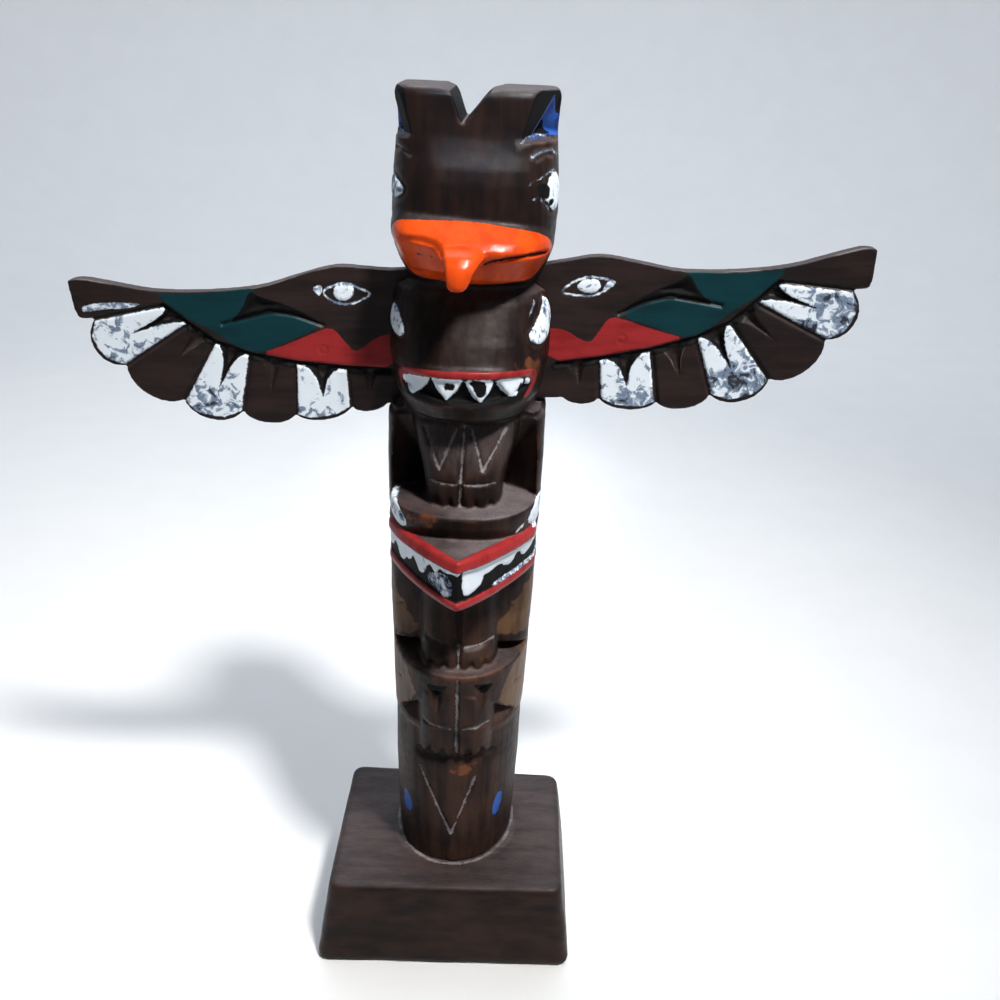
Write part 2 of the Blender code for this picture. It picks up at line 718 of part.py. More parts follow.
def wing_plate(name, side, frame):
    curve = bpy.data.curves.new(name, "CURVE")
    curve.dimensions = "2D"
    curve.fill_mode = "BOTH"
    curve.extrude = WING_THICK / 2 * MM
    outline = wing_outline()
    spline = curve.splines.new("POLY")
    spline.points.add(len(outline) - 1)
    for point, (out, up) in zip(spline.points, outline):
        point.co = (side * out * MM, up * MM, 0.0, 1.0)
    spline.use_cyclic_u = True
    guide = bpy.data.objects.new(name + " outline", curve)
    guide.parent = frame
    guide.location = (0.0, WING_THICK / 2 * MM, 0.0)
    guide.rotation_euler = (radians(90), 0.0, 0.0)
    parts.objects.link(guide)
    bpy.context.view_layer.update()
    graph = bpy.context.evaluated_depsgraph_get()
    mesh = bpy.data.meshes.new_from_object(guide.evaluated_get(graph))
    bm = bmesh.new()
    bm.from_mesh(mesh)
    bmesh.ops.remove_doubles(bm, verts=bm.verts, dist=0.00001)
    bmesh.ops.recalc_face_normals(bm, faces=bm.faces)
    bm.to_mesh(mesh)
    bm.free()
    wing = bpy.data.objects.new(name, mesh)
    parts.objects.link(wing)
    wing.matrix_world = guide.matrix_world
    bpy.data.objects.remove(guide)
    return wing


def wing_groove(name, start, end, depth, side, frame):
    ends = [(side * out, depth, up) for out, up in (start, end)]
    return gouge(name, ends[0], ends[1], depth * 0.8, depth, frame)


def wing_cuts(side, frame):
    """The feathers' outlines, the chip that splits each feather's root, and the curl at the shoulder."""
    made = []
    for index, (root, end) in enumerate(zip(FEATHER_ROOTS[:-1], FEATHER_ENDS[:-1])):
        root, end = Vector(root), Vector(end)
        start, finish = root.lerp(end, -0.02), root.lerp(end, 1.04) + Vector((0.1, 0.06))
        made.append(wing_groove(f"feather groove {index} {side}", start, finish, GROOVE, side, frame))
    for index, (start, end) in enumerate(zip(FEATHER_ROOTS, FEATHER_ROOTS[1:])):
        made.append(wing_groove(f"root groove {index} {side}", start, end, GROOVE * 1.15, side, frame))
        start, end = Vector(start), Vector(end)
        far = (Vector(FEATHER_ENDS[index]) + Vector(FEATHER_ENDS[index + 1])) / 2
        root = start.lerp(end, 0.5)
        for name, edge, length, deepest in (("wide", 0.14, 0.3, 0.04), ("narrow", 0.3, 0.62, 0.14)):
            spots = [start.lerp(end, edge), start.lerp(end, 1 - edge), root.lerp(far, length)]
            corners = [(side * spot.x, 0.0, spot.y) for spot in spots]
            low = root.lerp(far, deepest)
            made.append(chip(f"{name} chip {index} {side}", corners, (side * low.x, CHIP, low.y), frame))
    for index, (start, end) in enumerate(zip(LEAF_EDGE, LEAF_EDGE[1:])):
        made.append(wing_groove(f"leaf groove {index} {side}", start, end, GROOVE, side, frame))
    corners = [(side * out, 0.0, up) for out, up in SHOULDER_POCKET]
    middle = sum((Vector(corner) for corner in corners), Vector()) / len(corners)
    made.append(chip(f"shoulder pocket {side}", corners, middle + Vector((0.0, CHIP, 0.0)), frame))
    return made


def make_wing(name, side, frame):
    wing = wing_plate(name, side, frame)
    for cut in wing_cuts(side, frame):
        combine(wing, cut, "DIFFERENCE")
    weld(wing)
    return wing


def build():
    pole_frame = make_frame("pole axis", (*POLE_FOOT, BASE_HEIGHT), POLE_LEAN)
    wing_frame = make_frame("wing line", WING_PIVOT, -WING_TILT)
    for frame in (pole_frame, wing_frame):
        parts.objects.link(frame)
    made = {
        "stained wood": [make_base(), make_pole(pole_frame, wing_frame)],
        "wing wood": [make_wing("left_wing", -1, wing_frame), make_wing("right_wing", 1, wing_frame)],
    }
    colors = {"stained wood": WOOD, "wing wood": WING_WOOD}
    for slot, objects in made.items():
        material = make_material(slot, colors[slot], 0.45)
        for obj in objects:
            obj.data.materials.clear()
            obj.data.materials.append(material)


clear_scene()
parts = make_collection("totem pole")
cutters = make_collection("cutters", helper=True)
build()
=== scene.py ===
"""A small carved totem pole: stained wood, hand-painted faces and two wings let into the log.

The scene is in metres. Outlines and depths on a piece are in mm, in that piece's own place.
"""

from math import cos, radians, sin

import bmesh
import bpy
import numpy as np
from mathutils import Matrix, Vector, noise


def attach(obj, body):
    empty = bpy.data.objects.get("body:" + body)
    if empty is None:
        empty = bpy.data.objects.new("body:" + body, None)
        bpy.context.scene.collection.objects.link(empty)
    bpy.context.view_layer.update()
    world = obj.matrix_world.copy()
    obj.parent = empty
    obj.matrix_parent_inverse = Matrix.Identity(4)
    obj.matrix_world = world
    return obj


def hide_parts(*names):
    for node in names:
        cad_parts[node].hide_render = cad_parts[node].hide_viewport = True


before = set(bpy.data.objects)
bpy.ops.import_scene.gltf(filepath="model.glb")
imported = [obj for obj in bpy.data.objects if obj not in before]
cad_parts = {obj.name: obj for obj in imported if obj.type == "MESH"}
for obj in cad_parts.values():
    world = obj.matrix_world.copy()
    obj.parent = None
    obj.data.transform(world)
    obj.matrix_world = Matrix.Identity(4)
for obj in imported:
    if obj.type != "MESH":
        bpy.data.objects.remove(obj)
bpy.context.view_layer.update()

MM = 0.001
TINY = 0.000001
POLE_PLACE = Matrix.Translation(Vector((2.45, -1.05, 31.7)) * MM) @ Matrix.Rotation(radians(1.5), 4, "Y")
WING_PLACE = Matrix.Translation(Vector((6.65, -2.05, 244.7)) * MM) @ Matrix.Rotation(radians(-3.3), 4, "Y")
BASE_PLACE = Matrix.Identity(4)

CAMERA_AT = Vector((22.05, -338.25, 312.4)) * MM
CAMERA_TURN = radians(0.73)
CAMERA_DOWN = radians(23.25)
CAMERA_ROLL = radians(0.94)
CAMERA_LENS = 39.6
CAMERA_SENSOR = 36.0
CAMERA_NEAR = 0.01

# name, place, target, size, spread in degrees, power in watts, colour
LAMPS = (
    ("key lamp", (0.46, -0.56, 1.32), (0.0, 0.0, 0.17), 0.20, 40.0, 1.65, (1.0, 0.985, 0.96)),
    ("sky", (0.0, 0.75, 1.45), (0.0, 0.75, 0.0), 1.2, 165.0, 21.0, (0.86, 0.92, 1.0)),
    ("window", (0.05, -0.85, 1.15), (0.010, 0.0, 0.385), 0.14, 7.0, 0.10, (0.60, 0.76, 1.0)),
)
ROOM_COLOUR = (0.9, 0.94, 1.0)
ROOM_STRENGTH = 0.05

FLOOR_REACH = 0.9
FLOOR_CURVE = 0.5
FLOOR_DROP = 0.0002
FLOOR_SIDES = 96
FLOOR_TONES = ((0.60, 0.60, 0.60), (0.64, 0.64, 0.64))
FLOOR_ROUGHNESS = 0.9
WALL_TOP = 0.9

POLE_VOXEL = 0.5 * MM
WING_VOXEL = 0.4 * MM
BASE_VOXEL = 0.8 * MM
POLE_TRIANGLES = 190000
WRAP_RADIUS = 22.0
COAT_REACH = 4.0
WEAR_ROUNDS = 14
WORN_EDGE = (0.04, 0.24)
DUSTY_CUT = (0.02, 0.20)

# the uneven surface that the tools leave: height, size each way and seed of each layer
BASE_TOOLING = ((0.16, (14.0, 14.0, 9.0), 1), (0.05, (9.0, 3.0, 3.0), 2))
POLE_TOOLING = ((0.07, (5.0, 5.0, 3.2), 3), (0.03, (2.2, 2.2, 1.4), 4))
WING_TOOLING = ((0.05, (4.0, 4.0, 2.6), 7), (0.025, (1.6, 1.6, 1.2), 8))


# ---------------------------------------------------------------- camera, floor and lights


def set_camera():
    onward = cos(CAMERA_DOWN)
    ahead = Vector((-sin(CAMERA_TURN) * onward, cos(CAMERA_TURN) * onward, -sin(CAMERA_DOWN)))
    level = Vector((cos(CAMERA_TURN), sin(CAMERA_TURN), 0.0))
    upright = level.cross(ahead)
    right = level * cos(CAMERA_ROLL) + upright * sin(CAMERA_ROLL)
    up = upright * cos(CAMERA_ROLL) - level * sin(CAMERA_ROLL)
    data = bpy.data.cameras.new("camera")
    data.lens = CAMERA_LENS
    data.sensor_width = CAMERA_SENSOR
    data.clip_start = CAMERA_NEAR
    camera = bpy.data.objects.new("camera", data)
    camera.matrix_world = Matrix.Translation(CAMERA_AT) @ Matrix((right, up, -ahead)).transposed().to_4x4()
    bpy.context.scene.collection.objects.link(camera)
    bpy.context.scene.camera = camera


def add_lamp(name, at, target, size, spread, power, colour):
    data = bpy.data.lights.new(name, "AREA")
    data.shape = "DISK"
    data.size = size
    data.spread = radians(spread)
    data.energy = power
    data.color = colour
    lamp = bpy.data.objects.new(name, data)
    lamp.location = at
    lamp.rotation_euler = (Vector(target) - Vector(at)).to_track_quat("-Z", "Y").to_euler()
    bpy.context.scene.collection.objects.link(lamp)


def set_studio():
    for lamp in LAMPS:
        add_lamp(*lamp)
    world = bpy.data.worlds.new("room")
    bpy.context.scene.world = world
    world.use_nodes = True
    air = world.node_tree.nodes["Background"]
    air.inputs["Color"].default_value = (*ROOM_COLOUR, 1.0)
    air.inputs["Strength"].default_value = ROOM_STRENGTH
    bpy.context.scene.view_settings.view_transform = "Standard"


def add_floor():
    """A round floor that curves up into a low wall."""
    profile = [(0.0, 0.0), (FLOOR_REACH, 0.0)]
    for angle in range(10, 91, 10):
        turn = radians(angle)
        profile.append((FLOOR_REACH + FLOOR_CURVE * sin(turn), FLOOR_CURVE - FLOOR_CURVE * cos(turn)))
    profile.append((FLOOR_REACH + FLOOR_CURVE, WALL_TOP))
    work = bmesh.new()
    spots = [work.verts.new((out, 0.0, up - FLOOR_DROP)) for out, up in profile]
    for start, end in zip(spots, spots[1:]):
        work.edges.new((start, end))
    bmesh.ops.spin(
        work,
        geom=work.verts[:] + work.edges[:],
        cent=(0.0, 0.0, 0.0),
        axis=(0.0, 0.0, 1.0),
        angle=radians(360),
        steps=FLOOR_SIDES,
        use_merge=True,
    )
    bmesh.ops.remove_doubles(work, verts=work.verts, dist=TINY)
    bmesh.ops.recalc_face_normals(work, faces=work.faces)
    mesh = bpy.data.meshes.new("floor")
    work.to_mesh(mesh)
    work.free()
    mesh.shade_smooth()
    floor = bpy.data.objects.new("floor", mesh)
    bpy.context.scene.collection.objects.link(floor)
    paper = Finish("pale floor")
    paper.set("Base Color", paper.mix(paper.noise(30.0, 3.0), *FLOOR_TONES))
    paper.set("Roughness", FLOOR_ROUGHNESS)
    mesh.materials.append(paper.material)


# ---------------------------------------------------------------- finishes


class Finish:
    """A node material with a few short ways to add to it."""

    def __init__(self, name, stretch=(1.0, 1.0, 1.0)):
        self.material = bpy.data.materials.new(name)
        self.material.use_nodes = True
        self.tree = self.material.node_tree
        self.shader = self.tree.nodes["Principled BSDF"]
        self.where = self.tree.nodes.new("ShaderNodeTexCoord").outputs["Object"]
        self.stretched = self.scaled(stretch)

    def scaled(self, stretch):
        mapping = self.tree.nodes.new("ShaderNodeMapping")
        mapping.inputs["Scale"].default_value = stretch
        self.tree.links.new(self.where, mapping.inputs["Vector"])
        return mapping.outputs["Vector"]

    def feed(self, socket, value):
        if isinstance(value, bpy.types.NodeSocket):
            self.tree.links.new(value, socket)
        elif isinstance(value, tuple):
            socket.default_value = (*value, 1.0)
        else:
            socket.default_value = value

    def set(self, name, value):
        self.feed(self.shader.inputs[name], value)

    def noise(self, scale, detail, where=None, rough=0.5, swirl=0.0):
        node = self.tree.nodes.new("ShaderNodeTexNoise")
        node.inputs["Distortion"].default_value = swirl
        node.inputs["Scale"].default_value = scale
        node.inputs["Detail"].default_value = detail
        node.inputs["Roughness"].default_value = rough
        self.tree.links.new(where or self.where, node.inputs["Vector"])
        return node.outputs["Fac"]

    def combine(self, operation, first, second):
        node = self.tree.nodes.new("ShaderNodeMath")
        node.operation = operation
        self.feed(node.inputs[0], first)
        self.feed(node.inputs[1], second)
        return node.outputs[0]

    def plus(self, first, second):
        return self.combine("ADD", first, second)

    def times(self, first, second):
        return self.combine("MULTIPLY", first, second)

    def ramp(self, value, low, high, to_low=0.0, to_high=1.0):
        node = self.tree.nodes.new("ShaderNodeMapRange")
        node.interpolation_type = "SMOOTHSTEP"
        for name, number in (("From Min", low), ("From Max", high), ("To Min", to_low), ("To Max", to_high)):
            node.inputs[name].default_value = number
        self.feed(node.inputs["Value"], value)
        return node.outputs["Result"]

    def mix(self, share, first, second):
        """Two colours mixed by this share of the second."""
        node = self.tree.nodes.new("ShaderNodeMix")
        node.data_type = "RGBA"
        self.feed(node.inputs[0], share)
        self.feed(node.inputs[6], first)
        self.feed(node.inputs[7], second)
        return node.outputs[2]

    def blend(self, share, first, second):
        """Two numbers mixed by this share of the second."""
        node = self.tree.nodes.new("ShaderNodeMix")
        self.feed(node.inputs[0], share)
        self.feed(node.inputs[2], first)
        self.feed(node.inputs[3], second)
        return node.outputs[0]

    def painted(self, name):
        """A value that the piece's own points carry."""
        node = self.tree.nodes.new("ShaderNodeAttribute")
        node.attribute_name = name
        return node.outputs["Fac"]

    def bumped(self, height, depth):
        node = self.tree.nodes.new("ShaderNodeBump")
        node.inputs["Distance"].default_value = depth
        self.feed(node.inputs["Height"], height)
        return node.outputs["Normal"]


STAIN = (0.0065, 0.0036, 0.0034)
DARK_BROWN = (0.0125, 0.0062, 0.0050)
BROWN = (0.036, 0.0165, 0.0100)
RED_BROWN = (0.075, 0.027, 0.014)
# grey for dust, and for painted sheen on the faces that look up
DUST_AND_SHEEN = (0.172, 0.143, 0.150)
CHIPPED = (0.16, 0.14, 0.14)

# name of the coat: colour, a second tone, roughness, ragged edge in mm, and its share of the raised height
COATS = {
    "tan": ((0.105, 0.055, 0.026), (0.040, 0.019, 0.010), 0.45, 1.1, 0.0),
    "pale": ((0.17, 0.155, 0.155), (0.05, 0.042, 0.042), 0.50, 0.30, 0.0),
    "bare": ((0.110, 0.036, 0.014), (0.045, 0.016, 0.009), 0.45, 0.9, 0.0),
    "black": ((0.0012, 0.0012, 0.0016), (0.0024, 0.0024, 0.0032), 0.75, 0.12, 0.9),
    "green": ((0.0022, 0.028, 0.034), (0.0012, 0.017, 0.022), 0.46, 0.10, 0.9),
    "blue": ((0.024, 0.088, 0.34), (0.006, 0.026, 0.15), 0.42, 0.12, 0.9),
    "orange": ((0.60, 0.062, 0.006), (0.44, 0.038, 0.004), 0.27, 0.10, 0.9),
    "red": ((0.27, 0.020, 0.021), (0.18, 0.010, 0.011), 0.38, 0.12, 0.9),
    "white": ((0.66, 0.72, 0.78), (0.15, 0.20, 0.28), 0.46, 0.22, 0.9),
}
# scale and detail of each pattern in the wood and the paint
STREAKS, FIBRES, STROKES, SPECKS = (260.0, 4.0), (1100.0, 3.0), (150.0, 4.0), (1500.0, 3.0)
PATCHES, MOTTLE, LUMPS = (60.0, 4.0), (420.0, 3.0), (340.0, 5.0)
FINE_EDGE, COARSE_EDGE = (900.0, 3.0), (330.0, 3.0)
RAGGED_FROM = 0.5
GRAIN_ROUGH = 0.6
BRUSHED = (1.0, 1.0, 8.0)
DUST_AND_SHEEN_SHARE = 0.42
PAINT_DEPTH = 0.06 * MM
SPECULAR = 0.15


def painted_wood(name, stretch, coats, rubbed_edge=RED_BROWN):
    """Dark stained wood with the grain along its long way, and coats of brushed paint over it."""
    wood = Finish(name, stretch)
    streaks = wood.noise(*STREAKS, wood.stretched, GRAIN_ROUGH)
    fibres = wood.noise(*FIBRES, wood.stretched, GRAIN_ROUGH)
    strokes = wood.noise(*STROKES, wood.scaled(BRUSHED), GRAIN_ROUGH)
    specks = wood.noise(*SPECKS, wood.stretched, GRAIN_ROUGH)
    patches = wood.noise(*PATCHES)
    mottle = wood.noise(*MOTTLE)
    uneven = wood.blend(0.5, streaks, patches)

    thin = wood.times(wood.painted("thin"), wood.ramp(uneven, 0.40, 0.62))
    colour = wood.mix(wood.ramp(streaks, 0.35, 0.70), STAIN, DARK_BROWN)
    colour = wood.mix(thin, colour, BROWN)
    worn = wood.times(wood.painted("worn"), wood.ramp(patches, 0.45, 0.66))
    colour = wood.mix(wood.ramp(worn, 0.25, 0.95, 0.0, 0.8), colour, rubbed_edge)
    # a grey veil that is partly dust and partly painted sheen, as much as the points ask for
    specked = wood.ramp(wood.blend(0.5, specks, streaks), 0.36, 0.64, 0.5, 1.0)
    dust_and_sheen_amount = wood.times(wood.painted("dust_and_sheen"), specked)
    colour = wood.mix(wood.times(dust_and_sheen_amount, DUST_AND_SHEEN_SHARE), colour, DUST_AND_SHEEN)

    grain = wood.blend(0.5, wood.blend(0.4, fibres, strokes), mottle)
    rough = wood.ramp(grain, 0.35, 0.65, 0.30, 0.44)
    rough = wood.plus(rough, wood.times(wood.painted("thin"), 0.18))
    rough = wood.blend(wood.times(dust_and_sheen_amount, 0.6), rough, 0.55)
    height = wood.times(wood.blend(0.5, wood.blend(0.5, streaks, strokes), fibres), 0.7)

    for coat in coats:
        tone, shade, gloss, ragged, thick = COATS[coat]
        edge = wood.noise(*(FINE_EDGE if ragged < RAGGED_FROM else COARSE_EDGE))
        edge = wood.times(wood.combine("SUBTRACT", edge, 0.5), ragged * 4.0)
        soft = 0.12 + ragged * 0.2
        cover = wood.ramp(wood.plus(wood.painted(coat), edge), -soft, soft)
        brushed = wood.mix(wood.ramp(uneven, 0.34, 0.58), shade, tone)
        if coat == "white":
            # chalky flakes: duller first, then gone, and more so where the paint is rubbed
            lumps = wood.noise(*LUMPS, None, 0.58, 0.8)
            lumps = wood.plus(lumps, wood.times(wood.painted("rubbed"), 0.25))
            brushed = wood.mix(wood.ramp(lumps, 0.54, 0.64), tone, shade)
            cover = wood.times(cover, wood.ramp(lumps, 0.68, 0.76, 1.0, 0.1))
        colour = wood.mix(cover, colour, brushed)
        rough = wood.blend(cover, rough, gloss)
        height = wood.plus(height, wood.times(cover, thick))
    wood.set("Base Color", colour)
    wood.set("Roughness", rough)
    wood.set("Normal", wood.bumped(height, PAINT_DEPTH))
    wood.set("Specular IOR Level", SPECULAR)
    return wood.material


# ---------------------------------------------------------------- carving by hand


def smoothstep(value, low, high):
    share = np.clip((value - low) / (high - low), 0.0, 1.0)
    return share * share * (3.0 - 2.0 * share)


def from_line(points, start, end):
    """Distance in mm from each point to a straight cut."""
    start, end = np.array(start, float), np.array(end, float)
    along = end - start
    share = np.clip(((points - start) @ along) / max(along @ along, TINY), 0.0, 1.0)
    return np.linalg.norm(points - start - share[:, None] * along, axis=1)


def from_path(points, path):
    return np.min([from_line(points, start, end) for start, end in zip(path, path[1:])], axis=0)


def from_paths(points, paths):
    return np.min([from_path(points, path) for path in paths], axis=0)


def from_oval(points, oval):
    """How far out each point lies, as a share of the way from the oval's middle to its edge."""
    across, back, half_width, half_depth = oval
    return np.hypot((points[:, 0] - across) / half_width, (points[:, 1] - back) / half_depth)


def softened(outline, rounds):
    """Cuts the corners off a closed outline."""
    outline = np.array(outline, float)
    for _ in range(rounds):
        ahead = np.roll(outline, -1, axis=0)
        cuts = (outline * 0.75 + ahead * 0.25, outline * 0.25 + ahead * 0.75)
        outline = np.stack(cuts, axis=1).reshape(-1, 2)
    return outline


def inside(points, outline):
    """How far inside a closed outline each point lies, in mm. Outside it is negative."""
    outline = np.array(outline, float)
    nearest = np.full(len(points), np.inf)
    enclosed = np.zeros(len(points), bool)
    for start, end in zip(outline, np.roll(outline, -1, axis=0)):
        nearest = np.minimum(nearest, from_line(points, start, end))
        if start[1] != end[1]:
            crosses = (start[1] > points[:, 1]) != (end[1] > points[:, 1])
            across = start[0] + (points[:, 1] - start[1]) * (end[0] - start[0]) / (end[1] - start[1])
            enclosed ^= crosses & (points[:, 0] < across)
    return np.where(enclosed, nearest, -nearest)


def within(points, outline, rounds=2):
    """How far inside an outline with its corners cut off each point lies, in mm."""
    return inside(points, softened(outline, rounds))


def within_any(points, outlines, rounds=2):
    return any_of(*(within(points, outline, rounds) for outline in outlines))


def any_of(*covers):
    return np.max(covers, axis=0)


def both(*covers):
    return np.min(covers, axis=0)


def dome(cover, width):
    """A rounded rise that reaches full height this far in from its edge."""
    share = np.clip(cover / width, 0.0, 1.0)
    return np.sqrt(1.0 - (1.0 - share) ** 2)


def cut(distance, half):
    """A rounded groove this wide to each side."""
    return -np.exp(-((distance / half) ** 2))


def ripple(points, size, seed):
    """Smooth uneven values from about -1 to 1, with this size in mm each way."""
    spots = points / np.array(size) + np.array((seed * 17.3, seed * 5.1, seed * -9.7))
    return np.array([noise.noise(spot) for spot in spots.tolist()])


def tooling(points, layers):
    return sum(height * ripple(points, size, seed) for height, size, seed in layers)


class Surface:
    """A piece's points in its own mm: u to the right, v to the back and w up."""

    def __init__(self, node, name, place, voxel, rounds):
        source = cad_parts[node]
        self.piece = bpy.data.objects.new(name, source.data.copy())
        bpy.context.scene.collection.objects.link(self.piece)
        self.piece.data.materials.clear()
        work = bmesh.new()
        work.from_mesh(self.piece.data)
        bmesh.ops.remove_doubles(work, verts=work.verts, dist=TINY)
        work.to_mesh(self.piece.data)
        work.free()
        self.turn = np.array(place.to_3x3())
        self.foot = np.array(place.translation)
        remesh = self.piece.modifiers.new("fine skin", "REMESH")
        remesh.mode = "VOXEL"
        remesh.voxel_size = voxel
        self.finish_modifiers()
        self.sand(rounds)

    def finish_modifiers(self):
        graph = bpy.context.evaluated_depsgraph_get()
        mesh = bpy.data.meshes.new_from_object(self.piece.evaluated_get(graph))
        self.piece.modifiers.clear()
        self.piece.data = mesh
        mesh.name = self.piece.name
        self.read()

    def read(self):
        mesh = self.piece.data
        count = len(mesh.vertices)
        raw = np.empty(count * 3, np.float32)
        mesh.vertices.foreach_get("co", raw)
        self.at = (raw.reshape(-1, 3).astype(float) - self.foot) @ self.turn / MM
        mesh.vertices.foreach_get("normal", raw)
        self.facing = raw.reshape(-1, 3).astype(float) @ self.turn
        ends = np.empty(len(mesh.edges) * 2, np.int32)
        mesh.edges.foreach_get("vertices", ends)
        self.ends = ends.reshape(-1, 2)
        self.joined = np.maximum(np.bincount(self.ends.ravel(), minlength=count), 1)

    def write(self):
        world = (self.at * MM) @ self.turn.T + self.foot
        self.piece.data.vertices.foreach_set("co", world.astype(np.float32).ravel())
        self.piece.data.update()
        self.read()

    def evened(self, points, rounds, share=0.5):
        """The points after each has moved towards the middle of its neighbours."""
        first, second = self.ends.T
        count = len(points)
        for _ in range(rounds):
            middle = np.empty_like(points)
            for axis in range(points.shape[1]):
                middle[:, axis] = np.bincount(first, points[second, axis], count)
                middle[:, axis] += np.bincount(second, points[first, axis], count)
            points = points + (middle / self.joined[:, None] - points) * share
        return points

    def sand(self, rounds, where=None):
        share = 0.5 if where is None else (0.5 * np.clip(where, 0.0, 1.0))[:, None]
        self.at = self.evened(self.at, rounds, share)
        self.write()

    def push(self, height):
        self.at = self.at + self.facing * height[:, None]
        self.write()

    def simplify(self, triangles):
        self.piece.data.calc_loop_triangles()
        share = triangles / len(self.piece.data.loop_triangles)
        if share < 1.0:
            decimate = self.piece.modifiers.new("thinner", "DECIMATE")
            decimate.ratio = share
            self.finish_modifiers()

    def coat(self, name, cover):
        """Stores a value with each point for the finish to read, such as the mm inside a coat's outline."""
        attribute = self.piece.data.attributes.new(name, "FLOAT", "POINT")
        attribute.data.foreach_set("value", np.clip(cover, -COAT_REACH, COAT_REACH).astype(np.float32))

    def age(self, thin, dust_and_sheen, wear, flats=0.6):
        """Wears the stain on the edges, leaves it thin where asked, lets dust settle in the cuts, and greys
        the faces that look up, partly as dust and partly as painted sheen.
        """
        # positive where a point stands proud of its surroundings, negative in a cut
        proud = np.einsum("ij,ij->i", self.at - self.evened(self.at, WEAR_ROUNDS), self.facing)
        self.coat("worn", smoothstep(proud, *WORN_EDGE) * wear)
        self.coat("thin", np.full(len(proud), 1.0) * thin)
        hollow = smoothstep(-proud, *DUSTY_CUT) * smoothstep(self.facing[:, 2], -0.2, 0.6)
        # painted sheen, partly dust: the more a face looks up, the greyer it is made
        flat = smoothstep(self.facing[:, 2], 0.35, 0.95)
        self.coat("dust_and_sheen", np.maximum(hollow * 0.3 + flat * flats, dust_and_sheen))

    @property
    def front(self):
        return self.at[:, (0, 2)]

    @property
    def wrap(self):
        """Millimetres round the log from the front, and height."""
        around = WRAP_RADIUS * np.arctan2(self.at[:, 0], -self.at[:, 1])
        return np.stack((around, self.at[:, 2]), axis=1)


def finish_piece(surface, node, material):
    surface.piece.data.materials.append(material)
    surface.piece.data.shade_smooth()
    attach(surface.piece, "root")
    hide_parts(node)


# ---------------------------------------------------------------- the base

# just under the base's top face
NEAR_TOP = 31.0
# ovals round the post's foot: middle across and back, half width and half depth
POST_FOOT = (2.6, -0.6, 22.0, 20.6)
SCUFFED_RING = (2.45, 6.95, 21.0, 28.0)
RING_REACH = 24.0
RING_MIDDLE, RING_HALF = 0.9, 0.5
RING_BACK = 12.0


def make_base():
    base = Surface("base", "base_block", BASE_PLACE, BASE_VOXEL, 3)
    base.push(tooling(base.at, BASE_TOOLING))
    _, v, w = base.at.T
    foot = smoothstep(from_oval(base.at, POST_FOOT), 1.10, 1.01)
    # the base's top is greyed as painted sheen, partly dust, and dust lies round the post's foot
    base.age(0.35, foot * smoothstep(w, NEAR_TOP - 0.5, NEAR_TOP + 0.2) * 0.8, 0.25, 0.42)
    out = RING_REACH * (from_oval(base.at, SCUFFED_RING) - 1.0)
    scuffed = RING_HALF - np.abs(out - RING_MIDDLE) + 0.5 * ripple(base.at, (4.0, 4.0, 4.0), 13)
    base.coat("pale", both(scuffed, w - NEAR_TOP, RING_BACK - v))
    finish_piece(base, "base", painted_wood("base finish", (0.25, 1.0, 1.0), ("pale",)))


# ---------------------------------------------------------------- the pole

# Each point is how far round the log from its front, and how high. The snout, the pale cuts and the scoop
# are drawn straight across the log instead, and the ear hollows from the side.
BEAK = (
    (-22.5, 224.8), (-20.0, 229.3), (-14.0, 230.3), (-5.0, 230.6), (3.0, 230.3), (9.0, 229.5),
    (16.0, 228.2), (20.5, 226.4), (24.5, 223.5), (25.0, 220.0), (23.0, 215.5), (16.0, 211.5), (-18.0, 211.5),
    (-22.5, 216.0), (-24.0, 220.5),
)
HEAD_EYE_RIGHT = (
    (22.0, 241.6), (26.0, 244.0), (30.6, 242.0), (34.0, 239.0), (31.0, 234.4), (27.0, 232.6), (24.2, 233.2),
    (22.4, 235.4), (20.8, 236.0), (21.6, 238.6),
)
HEAD_EYE_BLOBS = (
    ((17.0, 240.0), (19.0, 241.0), (21.6, 240.8), (22.6, 238.4), (21.4, 236.4), (18.4, 237.4), (18.6, 239.0)),
    ((22.6, 236.4), (24.4, 236.0), (23.8, 234.6), (22.6, 234.8)),
)
HEAD_EYE_LEFT = (
    (-31.0, 239.0), (-27.0, 241.6), (-23.2, 240.6), (-17.8, 237.9), (-21.8, 235.0), (-27.0, 234.0),
)
CHEEK = (
    (-25.0, 224.5), (-17.0, 226.0), (-11.0, 227.0), (-8.6, 226.7), (-5.9, 225.6), (-4.0, 222.5),
    (-3.4, 219.4), (-3.4, 214.0), (-9.0, 210.0), (-26.0, 210.0),
)
BEAK_SLIT = ((3.4, 219.6), (5.2, 220.7), (9.3, 221.6), (14.0, 222.1), (21.0, 221.7))
# dots of painted shade along the mouth line on the beak's left
BEAK_DOT_SHADOWS = ((-12.2, 221.0), (-10.9, 220.9), (-8.9, 220.8), (-6.6, 221.2))
FACE_EYE_RIGHT = (
    (29.0, 207.2), (33.0, 204.0), (34.0, 200.0), (29.5, 194.2), (23.3, 193.0), (19.4, 194.7), (18.6, 196.9),
    (21.3, 199.1), (25.0, 202.0), (27.0, 204.4),
)
FACE_EYE_LEFT = (
    (-30.6, 202.4), (-27.4, 202.8), (-24.4, 200.8), (-20.3, 197.6), (-19.5, 195.2), (-21.4, 194.3),
    (-26.9, 194.8), (-31.5, 197.2),
)
LIP_OUTER = (
    (-19.4, 178.2), (-22.4, 180.6), (-23.4, 183.2), (-20.3, 185.6), (-15.0, 186.8), (-6.0, 188.0),
    (3.4, 188.4), (15.6, 187.6), (21.0, 186.4), (23.4, 183.8), (22.4, 181.0), (20.2, 178.8),
    (17.0, 177.4),
)
